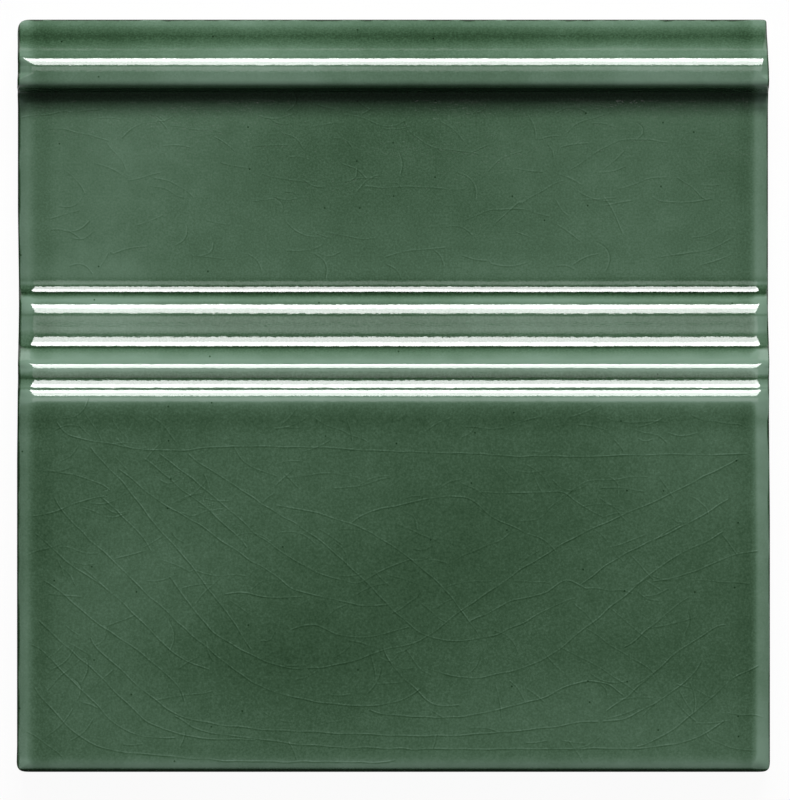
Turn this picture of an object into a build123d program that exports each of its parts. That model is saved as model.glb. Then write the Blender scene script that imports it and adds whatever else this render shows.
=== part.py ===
from build123d import *
from math import atan, cos, degrees, radians, sin
import os

# Ceramic skirting tile, moulded and fired as one piece. It lies on its back:
# X is its width along the wall, +Y its top edge, +Z out of the glazed face, millimetres.

# Plan
tile_width = 150.0
tile_height = 150.0
corner_radius = 1.8          # of the upright corners, seen from the front
edge_radius = 1.9            # rounding where the moulded face meets the four edges
back_arris = 0.6             # small bevel where the back meets the four edges

# Top member: a hollow that scoops up from the lip into a bead, tilts in degrees from level
bead_projection = 5.3        # of the bead's crest in front of the upper panel
scoop_radius = 20.2
lip_tilt = 31.0              # of the scoop where it leaves the lip
bead_tilt = 52.0             # where the scoop turns over into the bead
bead_radius = 6.9
bead_fall = 8.0              # tilt that the bead carries on to past its crest
nose_radius = 2.1            # from there down into the underside of the bead
nose_tilt = 80.0             # of the flank under the bead
nose_quirk_radius = 0.9      # hollow where that flank meets the panel

# Upper panel
upper_panel_thickness = 8.0
moulding_down = 51.65        # from the top edge to the middle moulding

# Middle moulding: a step, a roll and a last step, each one further out than the last
first_step_run = 9.25
first_step_rise = 3.3
first_step_hollow = 5.5      # radius of its hollow
cavetto_radius = 9.25        # long hollow under the roll
cavetto_tilt = 27.0
roll_quirk_radius = 2.2      # tighter hollow between that one and the roll's flank
roll_tilt = 50.0
roll_flank = 2.85
roll_radius = 3.45
last_step_run = 6.25
last_step_rise = 1.7
last_step_hollow = 6.8

# Keyed back: shallow blind grooves across the width
groove_count = 9
groove_pitch = 15.0
groove_width = 6.0
groove_depth = 1.0
groove_draft = 25.0          # of the grooves' flanks, in degrees
groove_margin = 10.0         # from each side edge


def rise_of(radius, tilt_from, tilt_to):
    """Height that an arc gains between two tilts: radius * (cos a - cos b)."""
    return radius * (cos(radians(tilt_from)) - cos(radians(tilt_to)))


def step(start, run, rise, hollow_radius):
    """A hollow, then a round, between two level faces.

    The turn of each is 2 * atan(rise / run), and their radii add up to run / sin(turn).
    """
    turn = degrees(2 * atan(rise / run))
    hollow = JernArc(start, (1, 0), hollow_radius, turn)
    return JernArc(hollow @ 1, hollow % 1, run / sin(radians(turn)) - hollow_radius, -turn)


def cavetto_and_roll(start):
    """A long hollow that tightens into a quirk, then a straight flank and the round of the roll."""
    cavetto = JernArc(start, (1, 0), cavetto_radius, cavetto_tilt)
    quirk = JernArc(cavetto @ 1, cavetto % 1, roll_quirk_radius, roll_tilt - cavetto_tilt)
    flank = Line(quirk @ 1, quirk @ 1 + (quirk % 1) * roll_flank)
    return JernArc(flank @ 1, flank % 1, roll_radius, -roll_tilt)


bead_height = upper_panel_thickness + bead_projection
lip_thickness = (bead_height - rise_of(bead_radius, 0, bead_tilt)
                 - rise_of(scoop_radius, lip_tilt, bead_tilt))
nose_flank = ((bead_projection - rise_of(bead_radius, 0, bead_fall)
               - rise_of(nose_radius, bead_fall, nose_tilt) - rise_of(nose_quirk_radius, 0, nose_tilt))
              / sin(radians(nose_tilt)))

# The section lies in the tile's right side edge: its first axis runs down the wall from the
# top edge and its second out of the back.
section_plane = Plane(origin=(tile_width / 2, tile_height / 2, 0), x_dir=(0, -1, 0), z_dir=(-1, 0, 0))

with BuildPart() as skirting_tile:
    with BuildSketch(section_plane):
        with BuildLine():
            lip = Line((0, 0), (0, lip_thickness))
            lip_direction = (cos(radians(lip_tilt)), sin(radians(lip_tilt)))
            scoop = JernArc(lip @ 1, lip_direction, scoop_radius, bead_tilt - lip_tilt)
            bead = JernArc(scoop @ 1, scoop % 1, bead_radius, -bead_tilt - bead_fall)
            nose = JernArc(bead @ 1, bead % 1, nose_radius, bead_fall - nose_tilt)
            under = Line(nose @ 1, nose @ 1 + (nose % 1) * nose_flank)
            quirk = JernArc(under @ 1, under % 1, nose_quirk_radius, nose_tilt)
            upper_panel = Line(quirk @ 1, (moulding_down, upper_panel_thickness))
            first_step = step(upper_panel @ 1, first_step_run, first_step_rise, first_step_hollow)
            roll = cavetto_and_roll(first_step @ 1)
            last_step = step(roll @ 1, last_step_run, last_step_rise, last_step_hollow)
            lower_panel = Line(last_step @ 1, (tile_height, (last_step @ 1).Y))
            Polyline(lower_panel @ 1, (tile_height, 0), lip @ 0)
        make_face()
    extrude(amount=tile_width)

    fillet(skirting_tile.edges().filter_by(Axis.Z), radius=corner_radius)

    back = skirting_tile.faces().sort_by(Axis.Z)[0]
    edge_walls = skirting_tile.faces().filter_by(lambda face: abs(face.normal_at().Z) < 0.01)
    rim = edge_walls.edges().filter_by(Axis.Z, reverse=True)
    fillet(rim - back.edges(), radius=min(edge_radius, 0.9 * nose_radius))

    back = skirting_tile.faces().sort_by(Axis.Z)[0]
    chamfer(back.edges(), length=back_arris)

    with BuildSketch(Plane.XY):
        with GridLocations(0, groove_pitch, 1, groove_count):
            SlotOverall(tile_width - 2 * groove_margin, groove_width)
    extrude(amount=groove_depth, taper=groove_draft, mode=Mode.SUBTRACT)

skirting_tile.part.label = "skirting_tile"
os.makedirs("parts", exist_ok=True)
export_step(skirting_tile.part, "parts/skirting_tile.step")
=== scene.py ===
import bpy
import numpy as np
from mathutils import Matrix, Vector
from mathutils.geometry import delaunay_2d_cdt


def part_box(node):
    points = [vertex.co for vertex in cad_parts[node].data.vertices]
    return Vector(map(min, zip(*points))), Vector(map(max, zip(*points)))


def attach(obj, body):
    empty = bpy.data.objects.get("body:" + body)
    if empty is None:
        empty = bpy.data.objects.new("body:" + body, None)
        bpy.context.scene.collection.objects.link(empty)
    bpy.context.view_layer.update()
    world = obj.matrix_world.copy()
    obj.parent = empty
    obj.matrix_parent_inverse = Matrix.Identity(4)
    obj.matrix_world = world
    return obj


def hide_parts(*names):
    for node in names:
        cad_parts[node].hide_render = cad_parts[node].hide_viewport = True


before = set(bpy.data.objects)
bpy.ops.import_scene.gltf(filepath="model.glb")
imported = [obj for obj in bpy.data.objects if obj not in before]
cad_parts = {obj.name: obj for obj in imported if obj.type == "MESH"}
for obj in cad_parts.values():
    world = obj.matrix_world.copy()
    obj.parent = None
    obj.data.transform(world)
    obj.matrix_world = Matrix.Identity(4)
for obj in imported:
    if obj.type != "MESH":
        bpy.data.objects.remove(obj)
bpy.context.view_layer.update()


# Moulded section.
# The tile is one piece of pressed clay, fired with its glaze. Its face has the same section along
# the whole width: a hollow and a bead, the upper panel, a step, a roll, a last step, the lower panel.
tile_low, tile_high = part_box("skirting_tile")
half_width = tile_high.x
tile_height = tile_high.y - tile_low.y

upper_panel_level = 0.00795     # above the plane of the back
moulding_down = 0.05206         # from the top edge to the first step
top_member_end = 0.020          # down the tile, well past the bead
lip_tilt = 33.0                 # degrees from level, at the top edge
station = 0.00002               # step of the sums along the section
melt = 0.00016                  # how far the molten glaze rounds off the bends

# Each stretch of the section: degrees it turns, hollow positive, then its radius in metres (or its
# length where it doesn't turn)
scoop = (11.5, 0.0407)
bead_shoulder, bead_low, bead_crest = (-29.5, 0.00625), (-13.0, 0.0054), (-10.0, 0.0118)
nose, under, nose_quirk = (-72.0, 0.0018), (0.0, 0.0031), (80.0, 0.0009)
first_hollow, first_flank, first_round = (38.6, 0.0051), (0.0, 0.0004), (-35.4, 0.0084)
ledge, cavetto, roll_quirk = (0.0, 0.00115), (24.3, 0.0096), (22.5, 0.0022)
roll_flank, roll = (0.0, 0.0028), (-48.5, 0.00345)
last_hollow, last_round = (28.9, 0.0072), (-30.4, 0.0053)


def curvature_of(stretches):
    """Curvature at every station of the stretches, one after the other: turn over length.

    A stretch that turns is its radius times its turn long. One that doesn't is its second value long.
    """
    counts = [round((abs(np.radians(turn)) * size if turn else size) / station)
              for turn, size in stretches]
    return np.concatenate([np.full(count, np.radians(turn) / (count * station))
                           for (turn, size), count in zip(stretches, counts)])


def run_of(curvature, first_tilt=0.0):
    """Tilt is the running sum of curvature.

    Each station goes cos(tilt) down the wall and sin(tilt) out of it.
    """
    tilt = np.radians(first_tilt) + np.cumsum(curvature) * station
    return tilt, np.cumsum(np.cos(tilt)) * station, np.cumsum(np.sin(tilt)) * station


def softened(values, width, spacing):
    """A running mean weighted by a bell curve of that width, cut off at three widths.

    The end values are carried on past the ends.
    """
    reach = int(3 * width / spacing)
    weights = np.exp(-0.5 * (np.arange(-reach, reach + 1) * spacing / width) ** 2)
    return np.convolve(np.pad(values, reach, "edge"), weights / weights.sum(), "valid")


top_bends = curvature_of([scoop, bead_shoulder, bead_low, bead_crest, nose, under, nose_quirk])
moulding_bends = curvature_of([first_hollow, first_flank, first_round, ledge, cavetto, roll_quirk,
                               roll_flank, roll, last_hollow, last_round])
upper_panel = (0.0, moulding_down - run_of(top_bends, lip_tilt)[1][-1])
lower_panel = (0.0, tile_height - moulding_down - run_of(moulding_bends)[1][-1])
bends = np.concatenate([top_bends, curvature_of([upper_panel]),
                        moulding_bends, curvature_of([lower_panel])])
section_tilt, section_down, section_out = run_of(softened(bends, melt, station), lip_tilt)
on_upper_panel = np.searchsorted(section_down, (moulding_down + top_member_end) / 2)
section_level = section_out - section_out[on_upper_panel] + upper_panel_level

# Glaze runs off what stands out and pools in what is hollow. Its depth at millimetres from the top
# edge: 0 on a sharp round, 1 on the panels, over 2 where it pools. Some deep knots carry painted shade
# together with pooled glaze: under the bead, in thin dark lines beside the highlights, and at the very
# bottom edge.
glaze_and_shade_knots = [
    # lip, scoop and bead; from 13.8 mm the deep knots also carry the bead's painted shade
    (0, .45), (1.0, .52), (2.2, 1.2), (3.4, 1.75), (4.6, 1.25), (5.4, .88), (6.2, .62), (7.3, .50),
    (7.65, .75), (8.0, .4), (8.5, .44), (8.8, .56), (9.1, .45), (9.3, .65), (9.7, .43), (11.0, .46),
    (12.4, .32), (13.1, .35), (13.8, 1.4), (14.4, 2.0), (15.2, 2.2), (15.9, 1.7),
    # upper panel
    (17.0, 1.15), (20, 1.06), (35, .99), (46, .88), (50.5, .77), (51.5, .85),
    # first step and ledge
    (52.1, 1.15), (52.5, .80), (52.9, .85), (53.25, 1.6), (53.85, 1.8), (54.1, 2.5), (54.3, 2.0),
    (54.6, 3.0), (54.9, 2.0), (55.4, .77), (56.0, .2), (56.5, .35), (56.75, .65), (57.1, .4),
    (58.8, .8), (59.0, 1.3), (59.4, .8),
    # cavetto and roll
    (62.0, .66), (63.1, 1.25), (65.2, 1.6), (65.5, 2.7), (65.75, 1.3), (66.1, .95), (66.7, .48),
    (67.5, .25), (68.5, .02), (69.7, .16), (70.1, .35),
    # last step
    (70.9, 1.0), (71.7, 2.3), (72.0, 1.3), (73.4, .9), (73.7, 1.2), (74.1, .6), (75.3, .18),
    (76.2, .18), (76.7, .75),
    # lower panel and bottom edge; the deep knots at the very bottom also carry painted shade, where the
    # edge turns from the light
    (77.7, 1.10), (79.9, 1.46), (83.2, 1.20), (116, 1.22), (128, 1.29), (140.5, 1.05),
    (146.2, 1.01), (147.2, .82), (148.5, .25), (149.25, .10), (149.45, 3.0), (150, 2.4)]
glaze_spread = 0.00008          # how far the depth evens out between the knots
knot_down, knot_depth = np.array(glaze_and_shade_knots).T
section_glaze_and_shade = softened(np.interp(section_down * 1000, knot_down, knot_depth), glaze_spread, station)


# Glazed face.
# The face is a sheet carried along the section from the top edge to the bottom edge. Near the four
# edges it rolls over into the walls, more softly on the left, as the glaze pulled it in the kiln.
left_roll, right_roll = 0.0038, 0.0030      # width of the rounding at each edge
top_roll, bottom_roll = 0.0008, 0.0030
left_fall, right_fall = 0.0019, 0.0016      # how far it drops
top_fall, bottom_fall = 0.00025, 0.0015
roll_power = 2.5
# On slopes the side roundings are narrower: share of their width at degrees from level
slope_knots, slope_shares = (0, 13, 27, 45), (1.0, 1.05, 0.84, 0.70)
bead_knots = (0, 13, 27, 42, 62, 80)
left_bead_shares = (1.0, 0.95, 0.34, 0.30, 0.25, 0.12)
right_bead_shares = (0.7, 0.55, 0.48, 0.45, 0.25, 0.12)
# They are narrowest on the nose and under the bead: shares at distances down
nose_start, nose_end = 0.0108, 0.0122
nose_share, under_share, quirk_share = 0.08, 0.07, 0.10
quirk_reach, panel_reach = 0.0012, 0.0035   # below the bead, to the quirk and to the full width
arris_share = 0.990             # of that width, beyond it the rounding turns sharply into the wall
arris_drop = 0.30               # share of the drop that is left for that turn
corner_reach = 0.0034           # of the four corners, in plan
corner_powers = (3.7, 12.0, 4.2, 5.0)   # top left and right, bottom left and right: higher is squarer
edge_steps = 13
side_spacing = 0.00085          # between columns, on the plain part of the width
flat_spacing, curved_spacing = 0.00085, 0.00021     # between rows
flat_bend, row_blend = 1.0, 0.0008          # bends under 1 per metre count as flat
first_gap, last_gap = 0.0001, 0.0003        # least distance from the edge's rows to the next
tiny = 1e-9                     # keeps a divisor off zero


def rolled_steps(count):
    """Shares of the rounding's width, closer together towards the edge: sin of equal angles."""
    return np.sin(np.linspace(0, np.pi / 2, count + 1))


def fall_at(share):
    """Drop of the rounding, as a share of its full drop.

    A power of the share, then a quarter ellipse over the last of the width.
    """
    turn = np.clip((share - arris_share) / (1 - arris_share), 0, 1)
    return (1 - arris_drop) * share ** roll_power + arris_drop * (1 - np.sqrt(1 - turn ** 2))


inner_left, inner_right = -half_width + left_roll, half_width - right_roll
plain_columns = round((inner_right - inner_left) / side_spacing) + 1
columns = np.concatenate([
    inner_left - left_roll * rolled_steps(edge_steps)[::-1],
    np.linspace(inner_left, inner_right, plain_columns)[1:-1],
    inner_right + right_roll * rolled_steps(edge_steps)])

busy = softened((np.abs(bends) > flat_bend).astype(float), row_blend, station)
row_density = 1 / flat_spacing + busy * (1 / curved_spacing - 1 / flat_spacing)
row_count = np.cumsum(row_density) * station
plain_rows = np.interp(np.arange(1, row_count[-1]), row_count, section_down)
inner_top, inner_bottom = top_roll, tile_height - bottom_roll
rows = np.concatenate([
    inner_top - top_roll * rolled_steps(edge_steps)[::-1],
    plain_rows[(plain_rows > inner_top + first_gap) & (plain_rows < inner_bottom - last_gap)],
    inner_bottom + bottom_roll * rolled_steps(edge_steps)])

across, down = np.meshgrid(columns, rows)
slope = np.abs(np.degrees(np.interp(down, section_down, section_tilt)))
moulding_share = np.interp(slope, slope_knots, slope_shares)
bead_share = np.where(across < 0, np.interp(slope, bead_knots, left_bead_shares),
                      np.interp(slope, bead_knots, right_bead_shares))
under_bead = section_down[section_tilt.argmin()]
nose_limit = np.interp(down, [nose_start, nose_end, under_bead], [1, nose_share, under_share])
below_bead = np.interp(down, [under_bead, under_bead + quirk_reach, under_bead + panel_reach],
                       [under_share, quirk_share, 1])
top_share = np.where(down > under_bead, below_bead, np.minimum(bead_share, nose_limit))
slope_share = np.where(down < top_member_end, top_share, moulding_share)
side_roll = np.where(across < 0, left_roll, right_roll) * slope_share
end_roll = np.where(down < tile_height / 2, top_roll, bottom_roll)
side_share = np.maximum(np.abs(across) - (half_width - side_roll), 0) / side_roll
end_share = np.maximum(np.abs(down - tile_height / 2) - (tile_height / 2 - end_roll), 0) / end_roll
edge_share = np.maximum(side_share, end_share)

# In plan a corner is a superellipse, so points there move in towards the corner's own centre
side_corner = np.maximum(np.abs(across) - (half_width - corner_reach), 0) / corner_reach
end_corner = (np.maximum(np.abs(down - tile_height / 2) - (tile_height / 2 - corner_reach), 0)
              / corner_reach)
squared = np.maximum(side_corner, end_corner)
top_left, top_right, bottom_left, bottom_right = corner_powers
corner_power = np.where(down < tile_height / 2, np.where(across < 0, top_left, top_right),
                        np.where(across < 0, bottom_left, bottom_right))
spread = (side_corner ** corner_power + end_corner ** corner_power) ** (1 / corner_power)
pull = np.where(spread > 0, squared / np.maximum(spread, tiny), 1.0)
across = across - np.sign(across) * side_corner * (1 - pull) * corner_reach
down = down - np.sign(down - tile_height / 2) * end_corner * (1 - pull) * corner_reach

both = side_share + end_share + tiny
end_fall = np.where(down < tile_height / 2, top_fall, bottom_fall)
side_fall = np.where(across < 0, left_fall, right_fall) * slope_share
fall_depth = (side_fall * side_share + end_fall * end_share) / both
level = np.interp(down, section_down, section_level) - fall_depth * fall_at(edge_share)

# Small waves that the glaze keeps from the kiln: seeded plane waves, longer along the width
chance = np.random.default_rng(20)
long_wave, short_wave = 0.000012, 0.000002  # their heights
uneven_depth = 0.09                         # how much the depth of the glaze varies


def waves(x, y, count, shortest, longest, stretch):
    """Sum of count sine waves with random headings, phases and lengths, scaled to a spread of 1."""
    total = np.zeros_like(x)
    for length, heading, phase in zip(chance.uniform(shortest, longest, count),
                                      chance.uniform(0, np.pi, count),
                                      chance.uniform(0, 2 * np.pi, count)):
        total += length * np.sin(2 * np.pi / length
                                 * (x * np.cos(heading) / stretch + y * np.sin(heading)) + phase)
    return total / total.std()


inside = 1 - edge_share ** 2
long_waves = waves(across, down, count=40, shortest=0.009, longest=0.030, stretch=1.6)
short_waves = waves(across, down, count=60, shortest=0.0035, longest=0.009, stretch=2.0)
level += inside * (long_wave * long_waves + short_wave * short_waves)
depth_waves = waves(across, down, count=30, shortest=0.02, longest=0.07, stretch=1.2)
# Depth of the glaze at each vertex, with the painted shade from the knots in it
glaze_depth_and_shade = np.interp(down, section_down, section_glaze_and_shade) + uneven_depth * depth_waves

# The glaze is thinner over the side edges, above all beside the lower panel, and a little deeper
# next to them. Distances from the sides are in millimetres.
lower_panel_start, lower_blend = 0.076, 0.002
left_thinned, left_thinned_more = 0.42, 0.22
right_thinned, right_thinned_more = 0.60, 0.25
right_bead_thinned, right_bead_end, right_panel_start = 0.25, 0.0105, 0.0125
left_band, left_blend, right_band, right_blend = 3.6, 1.6, 3.4, 0.9
deeper, left_deeper_at, right_deeper_at, deeper_width = 0.13, 5.5, 4.8, 1.6

beside = (half_width - np.abs(across)) * 1000
lower = np.clip((down - lower_panel_start) / lower_blend, 0, 1)
right_share = np.interp(down, [right_bead_end, right_panel_start], [right_bead_thinned, right_thinned])
glaze_depth_and_shade -= np.where(
    across < 0,
    (left_thinned + left_thinned_more * lower) * np.clip((left_band - beside) / left_blend, 0, 1),
    (right_share + right_thinned_more * lower) * np.clip((right_band - beside) / right_blend, 0, 1))
deeper_at = np.where(across < 0, left_deeper_at, right_deeper_at)
glaze_depth_and_shade += deeper * np.exp(-((beside - deeper_at) / deeper_width) ** 2)

# The deep glaze and the painted shade under the bead are lightened at both ends, where light gets in
# under it; distances are in millimetres
pool_and_shade_down, pool_and_shade_shares, pool_and_shade_lifted = (13.0, 14.0, 16.0, 17.5), (0, 1, 1, 0), 1.1
left_pool_and_shade_end, left_pool_and_shade_blend, right_pool_and_shade_end, right_pool_and_shade_blend = 2.4, 2.0, 4.2, 3.0
pool_and_shade_end = np.where(across < 0, np.clip((left_pool_and_shade_end - beside) / left_pool_and_shade_blend, 0, 1),
                    np.clip((right_pool_and_shade_end - beside) / right_pool_and_shade_blend, 0, 1))
glaze_depth_and_shade -= pool_and_shade_lifted * np.interp(down * 1000, pool_and_shade_down, pool_and_shade_shares) * pool_and_shade_end

# Wide thin areas to the left and to the right, weaker in the lower panel's lower half
left_area, left_area_middle, left_area_width = 0.25, -0.052, 0.026
right_area, right_area_start, right_area_blend = 0.19, 0.022, 0.030
area_down, area_shares = (0.012, 0.018, 0.09, 0.13), (0.2, 1, 1, 0.5)
thin_left = np.exp(-((across - left_area_middle) / left_area_width) ** 2)
thin_right = np.clip((across - right_area_start) / right_area_blend, 0, 1)
area_share = np.interp(down, area_down, area_shares)
glaze_depth_and_shade -= (left_area * thin_left + right_area * thin_right) * area_share

# A dark line along the very edge, broken here and there: a little glaze hanging there, and painted
# shade where the rim turns from the light. Widths are in millimetres.
edge_glaze_and_shade_depth, edge_glaze_and_shade_width, edge_glaze_and_shade_varies, left_edge_wider = 3.2, 0.16, 0.05, 0.15
least_edge_width, edge_glaze_and_shade_reach = 0.03, 1.6
left_edge, left_edge_band, along_edge = -0.0742, 1, 3
edge_gap = np.minimum(beside, np.minimum(down, tile_height - down) * 1000)
edge_waves = waves(across * along_edge, down, count=30, shortest=0.004, longest=0.014, stretch=1.0)
edge_width = edge_glaze_and_shade_width + edge_glaze_and_shade_varies * edge_waves
edge_width = np.where((across < left_edge) & (beside < left_edge_band),
                      edge_width + left_edge_wider, edge_width)
edge_widths_off = edge_gap / np.maximum(edge_width, least_edge_width)
glaze_depth_and_shade += edge_glaze_and_shade_depth * np.clip(edge_glaze_and_shade_reach - edge_widths_off, 0, 1)

# The sides aren't quite straight: how far each is drawn in, at millimetres from the top edge
left_down = (0, 3, 5.7, 9, 13, 15, 38, 50, 54, 57, 61, 64.5, 68, 72, 79, 88, 145, 150)
left_in = (0, .05, .16, .21, .19, .04, .04, .20, .24, .34, .31, .27, .32, .35, .31, .22, .22, .08)
right_down = (0, 3, 5.7, 8, 10.5, 15, 54, 57.5, 61, 64.5, 68, 72, 79, 88, 100, 150)
right_in = (.32, .30, .20, .17, .03, .04, .04, .15, .10, 0.0, .03, .12, .17, .10, 0.0, 0.0)
drawn_in = np.where(across < 0, np.interp(down * 1000, left_down, left_in),
                    -np.interp(down * 1000, right_down, right_in)) / 1000
across = across + drawn_in * np.abs(across) / half_width

# Steep parts let it run smooth, level parts keep its pitted skin
skin_tilts, skin_shares = (-18, -8, 12, 18), (0.25, 1, 1, 0.25)
skin = np.interp(np.degrees(np.interp(down, section_down, section_tilt)), skin_tilts, skin_shares)


# Crackle.
# Fine stained cracks in the glaze. In the lower panel the long ones hang in bowls across the tile,
# with short ones between them. They are shorter and fainter in the upper panel.

# Each crack: its corners from left to right, millimetres across from the middle, down from the top
crack_paths = [
    [(-66.5, 81), (-64.5, 83), (-60, 84.3), (-50, 85.8), (-43, 86.1), (-37, 85.5), (-30, 85.2),
     (-15, 85.3), (-5, 86), (10, 86.5), (25, 87.2), (40, 87.2), (55, 86.9), (70, 86.8)],
    [(-44, 111.5), (-42, 114.5), (-40, 117.5), (-36, 122), (-33, 124), (-30, 125.8), (-26, 128),
     (-20, 129.4), (-15, 129.3), (-10, 128.5), (-5, 127), (-2, 125.7), (5, 124.3), (8, 122.3),
     (11, 119.8), (14, 117.5), (18, 115), (22, 112.3), (26, 109.5), (34, 104.5), (40, 101.3),
     (45, 99.3), (50, 97), (55, 94.7), (60, 92.3), (64, 90), (68, 88.3)],
    [(-40, 87.3), (-36, 90), (-32, 92.7), (-28, 95.3), (-24, 98), (-20, 100), (-15, 103.5),
     (-10, 108), (-5, 112.5), (0, 117.8), (5, 122), (8, 123.5), (13, 124), (20, 122.8), (25, 120.8),
     (30, 118), (36, 115)],
    [(-60, 86), (-54, 92), (-50, 97), (-46.5, 101.5), (-43, 105.5), (-40, 109), (-37, 113),
     (-34, 117), (-31, 120.8), (-28.5, 125.3)],
    [(-54, 90), (-50, 93.2), (-46, 96.3), (-42, 98.7), (-38, 100.8), (-34, 104), (-28, 108),
     (-23, 111), (-20, 113.5), (-15, 115), (-10, 116.2), (-5, 117), (-1, 116.6)],
    [(-46, 87), (-42, 90), (-38.5, 92.8), (-35, 95.8), (-31, 99.3), (-28, 102), (-24, 105),
     (-20, 107.5), (-15, 110.5), (-10, 112), (-7, 112.8), (-5, 111.5), (0, 108.8), (3, 107.8)],
    [(-67, 96), (-64.5, 99.5), (-60, 104), (-56, 107.5), (-52, 111.7), (-48, 115.5), (-44, 119),
     (-40, 122.8), (-36, 126), (-32, 129.3), (-28, 132), (-24, 134), (-20, 135), (-15, 136),
     (-8, 136.8), (-3, 136.8), (2, 135.7), (5, 134)],
    [(-70, 103), (-67, 106), (-65, 108), (-60, 111.5), (-57, 113.5), (-53, 117), (-50, 120),
     (-47, 123), (-44, 126), (-41, 128), (-37, 129.4)],
    [(-69, 112), (-65, 115), (-60, 119.5), (-55, 123), (-50, 126.3), (-46, 129.7), (-43.5, 132.2),
     (-41.3, 135)],
    [(-70, 120.5), (-66, 124), (-62, 127.5), (-58, 131), (-55, 134.3), (-52, 137.2), (-49, 140),
     (-45, 141.8), (-40, 142.9), (-34, 143.4), (-28, 143.6)],
    [(-60, 123.8), (-55, 129), (-50, 133.4), (-45, 137.3), (-42.5, 138.9), (-35, 140.5),
     (-25, 141.5), (-10, 142.2), (5, 142.8), (15, 142.5), (25, 141.8), (32, 141), (40, 139.6)],
    [(-42.5, 139), (-40, 141), (-36, 142.2), (-30, 143.2), (-22, 144), (-12, 145), (0, 145.3),
     (20, 145.4), (40, 145.4), (50, 145.2), (57, 144.3), (62, 142.5), (65, 140.3)],
    [(-71, 124.5), (-67, 128.3), (-65, 130.3), (-62, 133.5), (-60, 135.5), (-57.5, 138),
     (-55, 140.5), (-52, 142.2), (-49, 143), (-44, 143.3)],
    [(-71, 134), (-68, 137), (-65.5, 140), (-63, 142.5), (-60, 144.3), (-56, 145.7), (-50, 146.3),
     (-40, 147.3), (-30, 147.8), (0, 148)],
    [(7.5, 129.5), (10, 130.5), (13, 131), (17, 131.2), (21, 130.5), (25, 129.5), (29, 128),
     (33, 125.8), (36, 123), (40, 119.8), (44, 116.8), (47, 114.3), (51, 110.8), (54, 108.5),
     (58, 106), (62, 104.3), (65, 102.5)],
    [(38, 112.5), (42, 109), (46, 106.5), (50, 104.7), (55, 102.3), (60, 100), (63, 98), (66, 96)],
    [(52, 112), (56, 111.3), (60, 110), (64, 108.3), (68, 106.8), (72, 106.2)],
    [(42, 140), (46, 139.5), (50, 137.5), (54, 135.2), (58, 132), (61, 128.7)],
    [(49, 145), (53, 143.2), (57, 140.5), (60, 138), (63, 135.3), (66, 132.5), (69, 130.2),
     (72, 129.3)],
    [(49, 132.3), (53, 129.3), (56, 126.3), (60, 123.7), (65.5, 120.3)],
    [(43, 137.5), (47, 134.5), (52, 130)],
    [(46.5, 124.8), (50, 121.8), (53, 119.7), (56, 117), (58, 115.5)],
    [(-4, 137.8), (0, 138.7), (5, 139.1), (11, 139), (16, 138.6), (20, 137.8), (26, 136.3),
     (31, 134.8), (34, 133), (37, 132), (40, 131.8), (43, 132.5), (45.5, 134.5)],
    [(-22.5, 97.3), (-18, 97.5), (-10, 100), (-5, 102), (0, 105), (5, 108.7), (10, 113.3),
     (13, 117), (15, 119.5), (17, 122.5)],
    [(-8, 99.8), (-3, 97.6), (1, 97), (5, 96), (12, 95), (15, 95.3), (17, 97), (20, 99.5),
     (26, 102.2), (30, 103.7), (32, 105.2)],
    [(15.5, 119.7), (19, 118.5), (23, 116.2), (26, 115.4), (30, 114.5), (33, 112.5), (35, 111.6),
     (38, 113.3)],
    [(-49, 87.7), (-46, 90.2), (-42, 93.7), (-37, 97.5), (-33, 101.3), (-29, 104.8)],
    [(-57.5, 95.5), (-54, 99), (-52, 101), (-48.5, 105)],
    [(-71, 99), (-67, 98.3), (-63, 96.5), (-58, 95)],
    [(-69, 90), (-65, 90.3), (-60, 91.8), (-56.5, 93.5)],
    [(-33, 114.5), (-30, 114.2), (-24, 115.3), (-19, 115.3)],
    [(-2, 125.5), (0, 129), (3, 132), (5, 133.8), (7.5, 136.5), (12.5, 136.8)],
    [(-20, 121.3), (-16, 120.3), (-14, 121.3), (-11, 122.8), (-8, 123.3), (-4, 123), (0, 122),
     (2.5, 121)],
    [(18, 94), (22, 94.5), (30, 94.3), (34, 94.2), (36, 95.8), (39, 98), (41, 98.8)]]
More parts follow.
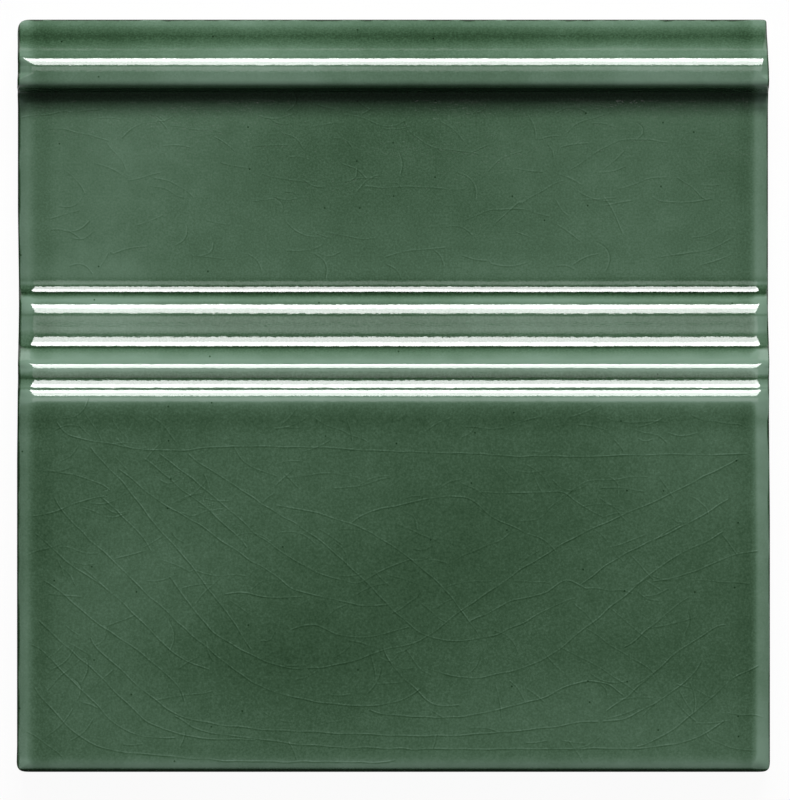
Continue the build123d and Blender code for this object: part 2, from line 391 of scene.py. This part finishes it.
short_paths = [
    [(-61, 79.5), (-58, 83.5)], [(-55.5, 80.5), (-53, 83.2)], [(-48, 79), (-45.5, 81), (-43.5, 84)],
    [(-72, 142), (-69, 144.5), (-66, 146.5)], [(-48, 112.3), (-43.8, 111.2)],
    [(-39, 110.3), (-34, 111.3)], [(-39, 116), (-36.5, 113.5), (-34, 111), (-30, 110.8)],
    [(-31.5, 116.3), (-28, 118.8)], [(-46.5, 135.4), (-40, 134.5), (-36, 134.3)],
    [(-54.5, 107.5), (-49.5, 106)], [(-61, 97.5), (-58, 98.8), (-55, 99.4), (-53, 98.5)],
    [(-65.5, 105), (-62, 106.2), (-59.5, 106.5)], [(-72, 106.5), (-66, 105)],
    [(-68, 133), (-66, 130.5), (-62.5, 127.8)], [(-68, 127), (-65.5, 124.8)],
    [(-57, 121), (-54, 119.8), (-51.5, 119.2)], [(-31.5, 86), (-30, 88), (-28, 89.3), (-24, 90.8)],
    [(-23, 81.4), (-17, 81.6)], [(-15, 80.3), (-11, 81.8), (-5, 84.3)],
    [(-21, 91.3), (-12, 90.5), (-6, 91.6)], [(-11, 93.8), (-5, 92.8), (-1, 91.3)],
    [(1.5, 100.7), (4, 102), (8, 103.5)], [(-14, 101.5), (-10.5, 103.8)],
    [(7.5, 107.3), (11, 107.6)], [(13, 107), (16, 106), (19, 104.8), (23, 103)],
    [(11, 112.8), (14, 112.2), (20, 112)], [(0, 111), (4, 112.3), (6.5, 113)],
    [(0.5, 118.5), (3, 116.5), (5.5, 114.7)], [(6, 116.5), (10, 120)],
    [(-14, 119.7), (-11.5, 117.7), (-10, 117)], [(-4.5, 126.5), (-3.3, 131)],
    [(3, 126), (5, 129.3), (7, 130.5)], [(-3, 132.3), (2, 132.2)], [(-12, 134.7), (-9, 134.3)],
    [(15, 81), (18, 81.7), (22, 81.5), (29, 79.3)], [(33, 80.8), (38, 81), (42, 81.8)],
    [(43, 80), (48, 80.6), (54, 80)], [(60, 79.5), (65, 80.5), (70, 81)],
    [(49, 82.3), (52, 82.8), (54, 84)], [(34, 95), (36, 93.5), (39, 92), (43, 91.8), (50, 91.2)],
    [(42, 93.2), (46, 93.5), (49, 94)], [(25, 100.2), (29, 99.8), (32, 96.5), (35, 94.5)],
    [(41, 102), (43, 105), (45, 107.7)], [(43, 105.3), (47, 104), (50, 103)],
    [(48, 107), (51.5, 111)], [(25, 112), (28, 112.2), (31, 112)],
    [(39, 113.3), (42, 113.8), (47, 114)], [(60, 111.5), (66, 112.3), (70, 112.1)],
    [(36, 117), (38, 118), (40, 120.3)], [(39.5, 122), (43, 124.5), (47, 127), (52, 130)],
    [(34, 125.5), (38, 127.5), (42, 129.5), (48, 134)], [(44, 118), (50, 123)],
    [(51, 121.5), (60, 119.3)], [(57, 132.5), (60, 133.5), (63, 135.3)],
    [(62, 143), (65, 144.7), (71, 146)], [(67, 138.3), (73, 138.8)], [(24, 132), (26, 135)],
    [(66, 103), (68, 106.5)], [(60, 95), (63, 98)], [(53, 91.5), (55, 94.5)],
    [(-74, 19.6), (-70, 19.3), (-64.5, 18.5)], [(-68, 21.5), (-64, 22.3), (-60, 23.2), (-57.5, 24)],
    [(-56.8, 25.2), (-55, 27), (-53.8, 28.6), (-53, 30)],
    [(-54, 23.2), (-52, 21.7), (-50, 20.8), (-47.5, 20.5)], [(-65, 30.3), (-63.5, 32), (-61.5, 34)],
    [(-45, 24.6), (-41, 25.1)], [(-52, 32), (-50, 31.5), (-47, 30.8)],
    [(-47, 31.7), (-44.5, 32.5), (-42.5, 33.5), (-40, 34.8)], [(-48, 33), (-45, 33.8), (-42, 35.6)],
    [(-44, 21.2), (-40, 21.8), (-35, 22.3)], [(-35, 23.6), (-33, 25), (-31.8, 26.5)],
    [(-34, 29), (-29, 29.5)], [(-36, 40.2), (-34, 41), (-32.5, 41.2)],
    [(-25.5, 31.4), (-22, 31.8), (-17, 32.7)], [(-24, 20.6), (-20.5, 21.1)],
    [(-16, 21.5), (-13, 20.7), (-10, 20.4)],
    [(-9, 18.9), (-6, 19.8), (-4, 20.9), (-1, 21.6), (2, 20.5)],
    [(2.5, 21), (4, 23), (7, 25.2), (9, 25.9), (13, 26.3), (17, 26.5)],
    [(-6.5, 17.3), (-4, 18.6), (-1.5, 16.8)], [(-15, 17), (-12, 18)], [(-11, 23.3), (-8, 24.7)],
    [(-9.5, 28.8), (-7, 29.8), (-5.8, 31)], [(-6.8, 33.4), (-5.5, 32), (-4, 31.2), (-2.5, 30.9)],
    [(-5, 33.6), (0, 33.6), (5, 33.5), (10, 34), (13.8, 34.1)],
    [(-12.5, 42.6), (-10, 43.2), (-4.2, 44)], [(-20.5, 45.9), (-17, 46.1), (-14.5, 45.3)],
    [(-1, 47.3), (2, 46.3), (5, 45.9), (10, 45.8)],
    [(19.5, 30), (20.5, 28.7), (22, 27.5), (25, 26.3)], [(25, 30), (27, 30.3), (29.5, 30.2)],
    [(26, 36.5), (28, 35.3), (30, 34.4), (33.5, 32)],
    [(15, 39.9), (17, 39), (19, 38), (25.5, 37.6), (28, 38.2), (31, 39.3)],
    [(33, 36.5), (34.5, 38.8)],
    [(36, 29.8), (38, 28.6), (41, 26), (43, 25.2), (45, 24.2), (48, 23.8), (52, 24), (54, 24.7)],
    [(35, 22), (37, 20.5), (40, 19.7), (43, 19)], [(36, 33.8), (38, 35), (40.5, 36), (43, 36.5)],
    [(45.5, 34), (48, 33), (50, 32), (51.5, 31.5), (54, 31.6)],
    [(57, 31.8), (59, 33), (61, 34.5), (62, 36)], [(52, 36.2), (54, 36.4), (58, 36.7), (63, 35.9)],
    [(42.5, 36), (44, 38), (45, 40), (45.5, 42)],
    [(54.5, 47.4), (58, 46.9), (62, 46.2), (65, 45.3), (67, 44)],
    [(36, 48.3), (38, 47.3), (40, 46.7)], [(20, 49), (23, 49.2), (26, 48.8)]]
crack_step = 0.0004             # between points along a crack
least_points = 6                # along a crack through its corners
crack_apart = 0.0025            # least distance between two cracks of one layer
crack_curve = 0.0009            # how far its corners are rounded
wander_length, wander_reach = 0.0012, 0.00008
crack_margin, far_off = 0.003, 0.004        # beyond the margin, a crack is simply far off
stray_across, stray_lengths = (-0.070, 0.062), (0.0015, 0.006)     # the short random ones
lower_strays, lower_stray_down, lower_stray_bend = 130, (0.079, 0.146), 0.6
upper_strays, upper_stray_down, upper_stray_bend = 70, (0.017, 0.050), 0.8
stray_headings, lower_spread, upper_spread = [0.75, -0.6, 0.05], 0.3, 0.5   # in radians
short_strength = 0.62           # of the short ones, next to the long ones


def wander(steps, amount, spacing):
    """A smooth random drift at each step along a crack, of that amount."""
    drift = softened(chance.normal(size=steps), wander_length, spacing)
    return amount * drift / max(drift.std(), tiny)


def crack_through(corners):
    """Straight runs through the corners, each coordinate softened along the way.

    A little wander is added to both coordinates.
    """
    corners = np.array(corners) / 1000
    reach = np.append(0, np.cumsum(np.hypot(*np.diff(corners, axis=0).T)))
    along = np.linspace(0, reach[-1], max(round(reach[-1] / crack_step), least_points))
    return np.stack([softened(np.interp(along, reach, corners[:, axis]), crack_curve, crack_step)
                     + wander(len(along), wander_reach, crack_step) for axis in (0, 1)], 1)


def stray_crack(start_across, start_down, heading, length, bend):
    """A short crack: its heading turns evenly by bend over its length."""
    angle = heading + bend * np.linspace(0, 1, round(length / crack_step))
    return np.stack([start_across + np.cumsum(np.cos(angle)) * crack_step,
                     start_down + np.cumsum(np.sin(angle)) * crack_step], 1)


def in_layers(lines):
    """Shares the cracks out so that those in one layer stay crack_apart from each other."""
    layers = []
    for line in lines:
        for layer in layers:
            apart = np.concatenate(layer)[None, ::2] - line[::2, None]
            if np.hypot(apart[..., 0], apart[..., 1]).min() > crack_apart:
                layer.append(line)
                break
        else:
            layers.append([line])
    return layers


def layer_fields(lines):
    """At each vertex of the face, its signed distance from the nearest crack's run, and the plain one.

    The signed one is the cross product of the run and the offset from it, over the run's length.
    """
    signed, plain = np.full(across.shape, far_off), np.full(across.shape, far_off)
    for line in lines:
        (left, top), (right, bottom) = line.min(0) - crack_margin, line.max(0) + crack_margin
        around = (across > left) & (across < right) & (down > top) & (down < bottom)
        run = np.diff(line, axis=0)
        offset = np.stack([across[around], down[around]], 1)[:, None] - line[None, :-1]
        foot_share = np.clip((offset * run).sum(2) / (run ** 2).sum(1), 0, 1)
        away = np.hypot(*(offset - foot_share[..., None] * run).transpose(2, 0, 1))
        nearest = away.argmin(1)
        vertex = np.arange(len(nearest))
        run, offset, away = run[nearest], offset[vertex, nearest], away[vertex, nearest]
        turn = run[:, 0] * offset[:, 1] - run[:, 1] * offset[:, 0]
        closer = away < plain[around]
        signed[around] = np.where(closer, turn / np.hypot(run[:, 0], run[:, 1]), signed[around])
        plain[around] = np.where(closer, away, plain[around])
    return signed, plain


strays = [stray_crack(chance.uniform(*stray_across), chance.uniform(*lower_stray_down),
                      chance.choice(stray_headings) + chance.normal(0, lower_spread),
                      chance.uniform(*stray_lengths), chance.normal(0, lower_stray_bend))
          for number in range(lower_strays)]
strays += [stray_crack(chance.uniform(*stray_across), chance.uniform(*upper_stray_down),
                       chance.normal(0, upper_spread),
                       chance.uniform(*stray_lengths), chance.normal(0, upper_stray_bend))
           for number in range(upper_strays)]
long_layers = in_layers([crack_through(path) for path in crack_paths])
short_layers = in_layers([crack_through(path) for path in short_paths] + strays)
crack_layers = [(1.0, *layer_fields(layer)) for layer in long_layers]
crack_layers += [(short_strength, *layer_fields(layer)) for layer in short_layers]


# Walls, back and mesh.
# The walls drop square to the back, where a small bevel runs round. The back is bare clay, pressed
# with nine blind grooves that key it to its adhesive.
wall_shares = (0.025, 0.10, 0.25, 0.45, 0.70, 1.0)  # of the way down, where the walls have their rings
arris = 0.0006
groove_count, groove_pitch = 9, 0.015
groove_half_length, groove_half_width, groove_depth = 0.065, 0.003, 0.001
groove_inset = 0.00047          # of its floor, from its mouth
half_round_points = 17          # of its two ends
same_point = 1e-7               # corners of the triangles this close are one
crease = 38                     # degrees, past which an edge is sharp
wall_glaze, back_glaze = 1.0, 0.5           # depth of the glaze, before it ends
wall_skin, far_below = 0.5, 0.03            # the back counts as far below the rim

face_rows, face_columns = across.shape
north = tile_height / 2 - down
face_points = np.stack([across, north, level], 2).reshape(-1, 3)
index = np.arange(face_rows * face_columns).reshape(face_rows, face_columns)
face_quads = np.stack([index[1:, :-1], index[1:, 1:], index[:-1, 1:], index[:-1, :-1]], 2)

rim = np.concatenate([index[-1, :-1], index[::-1, -1][:-1], index[0, ::-1][:-1], index[:, 0][:-1]])
rim_points = face_points[rim]
rim_count = len(rim)
wall_rings = []
for share in wall_shares:
    ring = rim_points.copy()
    ring[:, 2] = rim_points[:, 2] + (arris - rim_points[:, 2]) * share
    wall_rings.append(ring)
foot = wall_rings[-1].copy()
foot[:, :2] *= 1 - arris / half_width
foot[:, 2] = 0
wall_rings.append(foot)

all_points = [face_points, *wall_rings]
all_quads = [face_quads.reshape(-1, 4)]
above = rim
next_index = len(face_points)
for ring in wall_rings:
    below = np.arange(next_index, next_index + rim_count)
    all_quads.append(np.stack([below, np.roll(below, -1), np.roll(above, -1), above], 1))
    above = below
    next_index += rim_count
foot_index = above


def slot_ring(inset, middle, height):
    """Outline of one groove with round ends, drawn in by inset: two half circles a groove apart."""
    half_turn = np.linspace(-np.pi / 2, np.pi / 2, half_round_points)
    turn = np.concatenate([half_turn, half_turn + np.pi])
    reach = np.repeat([1, -1], len(half_turn)) * (groove_half_length - groove_half_width)
    radius = groove_half_width - inset
    return np.stack([reach + radius * np.cos(turn), middle + radius * np.sin(turn),
                     np.full(len(turn), height)], 1)


mouths, groove_floors = [], []
for number in range(groove_count):
    groove_middle = (number - (groove_count - 1) / 2) * groove_pitch
    mouth = slot_ring(0, groove_middle, 0)
    mouth_index = np.arange(next_index, next_index + len(mouth))
    floor_index = mouth_index + len(mouth)
    all_points += [mouth, slot_ring(groove_inset, groove_middle, groove_depth)]
    next_index += 2 * len(mouth)
    all_quads.append(np.stack([mouth_index, floor_index,
                               np.roll(floor_index, -1), np.roll(mouth_index, -1)], 1))
    mouths.append(mouth_index)
    groove_floors.append(floor_index)

points = np.concatenate(all_points)
polygons = np.concatenate(all_quads).tolist()
polygons += [floor_index[::-1].tolist() for floor_index in groove_floors]

# The land between the grooves is filled with triangles, and those that fill a groove are left out
land_index = np.concatenate([foot_index, *mouths])
outlines, first = [], 0
for ring_index in [foot_index, *mouths]:
    ring_edges = np.arange(first, first + len(ring_index))
    outlines += np.stack([ring_edges, np.roll(ring_edges, -1)], 1).tolist()
    first += len(ring_index)
land_corners = [Vector(point[:2]) for point in points[land_index].tolist()]
filled = delaunay_2d_cdt(land_corners, outlines, [], 0, same_point)
land, triangles = np.array(filled[0]), np.array(filled[2])
land_origins = np.array([origins[0] for origins in filled[3]])
centre_across, centre_north = land[triangles].mean(1).T
groove_row = np.round(centre_north / groove_pitch)
past_end = np.maximum(np.abs(centre_across) - groove_half_length + groove_half_width, 0)
from_groove = np.hypot(past_end, centre_north - groove_row * groove_pitch)
in_groove = (from_groove < groove_half_width) & (np.abs(groove_row) <= groove_count // 2)
polygons += land_index[land_origins[triangles[~in_groove]]][:, ::-1].tolist()

mesh = bpy.data.meshes.new("glazed_tile")
mesh.from_pydata(points.tolist(), [], polygons)
mesh.validate()
tile = bpy.data.objects.new("glazed_tile", mesh)
bpy.context.collection.objects.link(tile)
mesh.polygons.foreach_set("use_smooth", np.ones(len(mesh.polygons), bool))
mesh.set_sharp_from_angle(angle=np.radians(crease))


def give(name, face_values, wall_values, back_value):
    """Stores a number at every vertex: on the face, on each ring of the walls and on the back.

    wall_values is one number for every ring, or else a list of an array for each.
    """
    if np.isscalar(wall_values):
        wall_values = [np.full(rim_count, wall_values)] * len(wall_rings)
    rest = len(points) - face_values.size - rim_count * len(wall_rings)
    values = np.concatenate([face_values.ravel(), *wall_values, np.full(rest, back_value)])
    attribute = mesh.attributes.new(name, "FLOAT", "POINT")
    attribute.data.foreach_set("value", values.astype(np.float32))


give("glaze_depth_and_shade", glaze_depth_and_shade, wall_glaze, back_glaze)
give("skin", skin, wall_skin, wall_skin)
for number, (strength, signed, plain) in enumerate(crack_layers):
    give(f"crack_side_{number}", signed, far_off, far_off)
    give(f"crack_gap_{number}", plain, far_off, far_off)
below_rim = [rim_points[:, 2] - ring[:, 2] for ring in wall_rings]
give("below_rim", np.zeros(across.shape), below_rim, far_below)


# Glaze and clay.
# One fired surface: a green lead-like glaze, pale where it is thin and bottle green where it pools,
# over cream clay that is left bare on the back and the lower part of the walls.
thin_green = np.array([0.166, 0.258, 0.191])    # of the thinnest glaze over the clay
absorbed = np.array([1.08, 0.84, 1.10])         # by each depth of 1
depth_stops = [0.0, 0.4, 0.8, 1.2, 1.7, 2.3, 3.0]
mottle_size, mottle_depth = 0.006, 0.50         # soft patches of deeper and thinner glaze
speckle_size, speckle_share = 0.00042, 1.05
pit_spacing, pit_share, pit_depth = 0.0075, 0.22, 1.1
pit_edge, pit_core = 0.032, 0.016               # radii, as shares of the spacing
worn_size = 0.0035                              # of the stretches where the cracks fade
worn_from, worn_to, worn_least = 0.30, 0.62, 0.25   # where in the noise, and what is left of them
# Painted relief of a crack: stain and shade below it, a highlight on its upper lip
stain_and_shade_depth, lip_highlight_depth = 0.56, -0.49           # what a crack adds on its two sides
stain_and_shade_middle, stain_and_shade_width = 0.00017, 0.00013      # distances from the crack
lip_highlight_middle, lip_highlight_width = -0.00009, 0.00011
crack_fade, crack_full = 0.0013, 0.0008         # its ends fade out over these distances
glaze_edge, edge_blend = 0.0026, 0.0003         # how far the glaze runs down the walls
edge_wave_size, edge_wave = 0.012, 0.0036
peel_size, peel_height = 0.0013, 0.000014
grain_size, grain_height = 0.00036, 0.000013
crack_sunk = -0.000004
clay_dark, clay_pale = (0.52, 0.43, 0.32, 1), (0.68, 0.59, 0.46, 1)
dark_at, pale_at = 0.30, 0.62                   # where in the noise
clay_size, sand_size, sand_height = 0.0016, 0.0007, 0.00012
clay_rough, glaze_rough = 0.78, 0.06


def add(kind, **settings):
    """Adds a shader node: settings named after a property set it, the others set inputs by name."""
    node = nodes.new(kind)
    for key, value in settings.items():
        if hasattr(node, key):
            setattr(node, key, value)
        else:
            node.inputs[key.replace("_", " ")].default_value = value
    return node


def join(source, target):
    """Links an output to an input."""
    links.new(source, target)


def arithmetic(operation, first_value, second_value=0.0, third_value=None):
    """A Math node on two or three values, each a socket or a number."""
    node = nodes.new("ShaderNodeMath")
    node.operation = operation
    for socket, value in zip(node.inputs, (first_value, second_value, third_value)):
        if isinstance(value, bpy.types.NodeSocket):
            join(value, socket)
        elif value is not None:
            socket.default_value = value
    return node.outputs[0]


def noise(size, detail=2.0, roughness=0.5):
    """Noise over the object's own coordinates, with patches of about that size in metres."""
    mapping = add("ShaderNodeMapping")
    mapping.inputs["Scale"].default_value = [1 / size] * 3
    join(place.outputs["Object"], mapping.inputs["Vector"])
    texture = add("ShaderNodeTexNoise", Scale=1.0, Detail=detail, Roughness=roughness)
    join(mapping.outputs[0], texture.inputs["Vector"])
    return texture.outputs["Fac"]


def about_zero(socket):
    """Noise goes from 0 to 1 about a half, and this takes the half off."""
    return arithmetic("SUBTRACT", socket, 0.5)


def read(name):
    """The number that give() stored at the vertices under that name."""
    return add("ShaderNodeAttribute", attribute_name=name).outputs["Fac"]


# A crack is painted darker just below it, partly a stain and partly painted shade of its relief, and
# lighter on its upper lip, a painted highlight as if lit from the top edge
crack_group = bpy.data.node_groups.new("crack_line", "ShaderNodeTree")
for socket_name in ("Side", "Gap"):
    crack_group.interface.new_socket(socket_name, in_out="INPUT", socket_type="NodeSocketFloat")
for socket_name in ("Dark", "Light"):
    crack_group.interface.new_socket(socket_name, in_out="OUTPUT", socket_type="NodeSocketFloat")
nodes, links = crack_group.nodes, crack_group.links
given, result = add("NodeGroupInput"), add("NodeGroupOutput")
shown = add("ShaderNodeMapRange", interpolation_type="SMOOTHSTEP",
            From_Min=crack_fade, From_Max=crack_full)
join(given.outputs["Gap"], shown.inputs["Value"])
for socket_name, bell_middle, bell_width in (("Dark", stain_and_shade_middle, stain_and_shade_width),
                                             ("Light", lip_highlight_middle, lip_highlight_width)):
    from_middle = arithmetic("SUBTRACT", given.outputs["Side"], bell_middle)
    widths_off = arithmetic("DIVIDE", from_middle, bell_width)
    squared_off = arithmetic("MULTIPLY", widths_off, widths_off)
    bell = arithmetic("EXPONENT", arithmetic("MULTIPLY", squared_off, -1.0))
    join(arithmetic("MULTIPLY", bell, shown.outputs[0]), result.inputs[socket_name])

finish = bpy.data.materials.new("crackled_green_glaze")
finish.use_nodes = True
nodes, links = finish.node_tree.nodes, finish.node_tree.links
nodes.clear()
place = add("ShaderNodeTexCoord")

# Sums of the cracks' stain with painted shade, and of their painted highlights
crack_stain_and_shade, crack_lip_highlight = 0.0, 0.0
for number, (strength, signed, plain) in enumerate(crack_layers):
    crack = nodes.new("ShaderNodeGroup")
    crack.node_tree = crack_group
    join(read(f"crack_side_{number}"), crack.inputs["Side"])
    join(read(f"crack_gap_{number}"), crack.inputs["Gap"])
    crack_stain_and_shade = arithmetic("MULTIPLY_ADD", crack.outputs["Dark"], strength, crack_stain_and_shade)
    crack_lip_highlight = arithmetic("MULTIPLY_ADD", crack.outputs["Light"], strength, crack_lip_highlight)

# The depth of the glaze at each point, with painted shade in it, and the green that it gives
mottle = arithmetic("MULTIPLY", about_zero(noise(mottle_size, detail=3.0, roughness=0.6)), mottle_depth)
speckle = arithmetic("MULTIPLY_ADD", about_zero(noise(speckle_size)), speckle_share, 1.0)
depth = arithmetic("ADD", arithmetic("MULTIPLY", read("glaze_depth_and_shade"), speckle), mottle)
pit = add("ShaderNodeTexVoronoi", voronoi_dimensions="2D", Scale=1 / pit_spacing)
join(place.outputs["Object"], pit.inputs["Vector"])
pit_shape = add("ShaderNodeMapRange", interpolation_type="SMOOTHSTEP",
                From_Min=pit_edge, From_Max=pit_core)
join(pit.outputs["Distance"], pit_shape.inputs["Value"])
pit_draw = add("ShaderNodeSeparateColor")
join(pit.outputs["Color"], pit_draw.inputs["Color"])
pit_kept = arithmetic("LESS_THAN", pit_draw.outputs["Red"], pit_share)
pits = arithmetic("MULTIPLY", pit_shape.outputs[0], pit_kept)
depth = arithmetic("MULTIPLY_ADD", pits, pit_depth, depth)
worn = add("ShaderNodeMapRange", From_Min=worn_from, From_Max=worn_to, To_Min=worn_least, To_Max=1.0)
join(noise(worn_size), worn.inputs["Value"])
for line, line_depth in ((crack_stain_and_shade, stain_and_shade_depth), (crack_lip_highlight, lip_highlight_depth)):
    kept_line = arithmetic("MULTIPLY", line, worn.outputs[0])
    depth = arithmetic("MULTIPLY_ADD", kept_line, line_depth, depth)

green = add("ShaderNodeValToRGB")
while len(green.color_ramp.elements) < len(depth_stops):
    green.color_ramp.elements.new(0.5)
for element, stop in zip(green.color_ramp.elements, depth_stops):
    element.position = stop / depth_stops[-1]
    element.color = [*(thin_green * np.exp(-stop * absorbed)), 1]
join(arithmetic("DIVIDE", depth, depth_stops[-1]), green.inputs["Fac"])

# Where the glaze ends, and the clay below it
edge_wander = arithmetic("MULTIPLY", about_zero(noise(edge_wave_size)), edge_wave)
glazed = add("ShaderNodeMapRange", interpolation_type="SMOOTHSTEP",
             From_Min=glaze_edge + edge_blend, From_Max=glaze_edge - edge_blend)
join(arithmetic("ADD", read("below_rim"), edge_wander), glazed.inputs["Value"])
glazed = glazed.outputs[0]

clay = add("ShaderNodeValToRGB")
for element, at, shade in zip(clay.color_ramp.elements, (dark_at, pale_at), (clay_dark, clay_pale)):
    element.position, element.color = at, shade
join(noise(clay_size, detail=4.0, roughness=0.7), clay.inputs["Fac"])
colour = add("ShaderNodeMix", data_type="RGBA")
join(glazed, colour.inputs["Factor"])
join(clay.outputs["Color"], colour.inputs["A"])
join(green.outputs["Color"], colour.inputs["B"])
rough = add("ShaderNodeMapRange", To_Min=clay_rough, To_Max=glaze_rough)
join(glazed, rough.inputs["Value"])

peel = arithmetic("MULTIPLY", noise(peel_size, detail=1.0), peel_height)
grain = arithmetic("MULTIPLY", noise(grain_size, detail=1.0), grain_height)
grain = arithmetic("MULTIPLY", grain, read("skin"))
groove = arithmetic("MULTIPLY", crack_stain_and_shade, crack_sunk)
glaze_relief = arithmetic("ADD", arithmetic("ADD", peel, grain), groove)
clay_relief = arithmetic("MULTIPLY", noise(sand_size, detail=4.0, roughness=0.7), sand_height)
relief = add("ShaderNodeMix", data_type="FLOAT")
join(glazed, relief.inputs["Factor"])
join(clay_relief, relief.inputs["A"])
join(glaze_relief, relief.inputs["B"])
bump = add("ShaderNodeBump", Strength=1.0, Distance=1.0)
join(relief.outputs["Result"], bump.inputs["Height"])

surface = add("ShaderNodeBsdfPrincipled", IOR=1.55)
join(colour.outputs["Result"], surface.inputs["Base Color"])
join(rough.outputs[0], surface.inputs["Roughness"])
join(bump.outputs[0], surface.inputs["Normal"])
join(surface.outputs[0], add("ShaderNodeOutputMaterial").inputs["Surface"])
mesh.materials.append(finish)

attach(tile, "root")
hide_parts("skirting_tile")


# Floor.
# A plain white floor, turned up a little far away. The camera and reflections see it lit evenly, with
# part of its shadow kept.
floor_size, floor_lip = 12.0, 0.13
evenly_lit = 0.95               # share of it that the shadow doesn't reach
floor_white, even_white = (0.85, 0.85, 0.85, 1), (1, 1, 1, 1)
floor_corners = [(-floor_size, -floor_size), (floor_size, -floor_size),
                 (floor_size, floor_size), (-floor_size, floor_size)]
floor_mesh = bpy.data.meshes.new("floor")
floor_mesh.from_pydata([(x, y, z) for z in (0, floor_lip) for x, y in floor_corners], [],
                       [(0, 1, 2, 3), (0, 4, 5, 1), (1, 5, 6, 2), (2, 6, 7, 3), (3, 7, 4, 0)])
floor = bpy.data.objects.new("floor", floor_mesh)
bpy.context.collection.objects.link(floor)
paint = bpy.data.materials.new("white_floor")
paint.use_nodes = True
nodes, links = paint.node_tree.nodes, paint.node_tree.links
nodes.clear()
white = add("ShaderNodeBsdfDiffuse", Color=floor_white)
even = add("ShaderNodeEmission", Color=even_white, Strength=1.0)
path = add("ShaderNodeLightPath")
mirrored = arithmetic("MAXIMUM", path.outputs["Is Glossy Ray"], path.outputs["Is Transmission Ray"])
seen = arithmetic("MAXIMUM", path.outputs["Is Camera Ray"], mirrored)
blend = add("ShaderNodeMixShader")
join(arithmetic("MULTIPLY", seen, evenly_lit), blend.inputs["Fac"])
join(white.outputs[0], blend.inputs[1])
join(even.outputs[0], blend.inputs[2])
join(blend.outputs[0], add("ShaderNodeOutputMaterial").inputs["Surface"])
floor_mesh.materials.append(paint)


# Studio light.
# A tall window-like softbox stands behind the tile's top edge, with a dim ceiling panel over it.
lamp_distance, lamps_across = 1.25, 0.08
moulding_level = 0.015
softbox_width, low_radiance, high_radiance = 0.88, 22.0, 14.0
low_angle, middle_angle, high_angle = 54.6, 42.9, 30.0      # of the softbox's edges, from straight up
ceiling, ceiling_width, ceiling_radiance = 2.3, 1.4, 1.35
near_angle, far_angle = 6.0, 22.0                           # of the ceiling panel's edges
world_colour, world_strength = (0.90, 1, 0.98, 1), 0.08


def panel(name, centre, width, height, facing, radiance):
    """An area lamp of that radiance: its power is radiance times pi times its area."""
    light = bpy.data.lights.new(name, "AREA")
    light.shape = "RECTANGLE"
    light.size, light.size_y = width, height
    light.energy = radiance * np.pi * width * height
    lamp = bpy.data.objects.new(name, light)
    lamp.location = centre
    lamp.rotation_euler = Vector(facing).to_track_quat("-Z", "Y").to_euler()
    lamp.visible_camera = False
    bpy.context.collection.objects.link(lamp)


def height_at(degrees_from_above):
    """Height of the softbox's edge that the moulding sees at that angle: distance over its tangent."""
    return (lamp_distance - moulding_level) / np.tan(np.radians(degrees_from_above))


low, middle, high = height_at(low_angle), height_at(middle_angle), height_at(high_angle)
panel("softbox_low", (lamps_across, lamp_distance, (low + middle) / 2),
      softbox_width, middle - low, (0, -1, 0), low_radiance)
panel("softbox_high", (lamps_across, lamp_distance, (middle + high) / 2),
      softbox_width, high - middle, (0, -1, 0), high_radiance)
near, far = (np.tan(np.radians(angle)) * ceiling for angle in (near_angle, far_angle))
panel("ceiling_panel", (lamps_across, (near + far) / 2, ceiling),
      ceiling_width, far - near, (0, 0, -1), ceiling_radiance)

world = bpy.data.worlds.new("studio")
world.use_nodes = True
world.node_tree.nodes["Background"].inputs["Color"].default_value = world_colour
world.node_tree.nodes["Background"].inputs["Strength"].default_value = world_strength
bpy.context.scene.world = world


# Camera.
# It looks straight down on the lying tile from far off, a little right of its middle and below it.
camera_data = bpy.data.cameras.new("camera")
camera_data.sensor_width = 36.0
camera_data.lens = 480.7
camera_data.clip_start, camera_data.clip_end = 0.1, 30.0
camera = bpy.data.objects.new("camera", camera_data)
camera.location = (0.00042, -0.00102, 2.141)
bpy.context.collection.objects.link(camera)
bpy.context.scene.camera = camera
bpy.context.scene.view_settings.view_transform = "Standard"
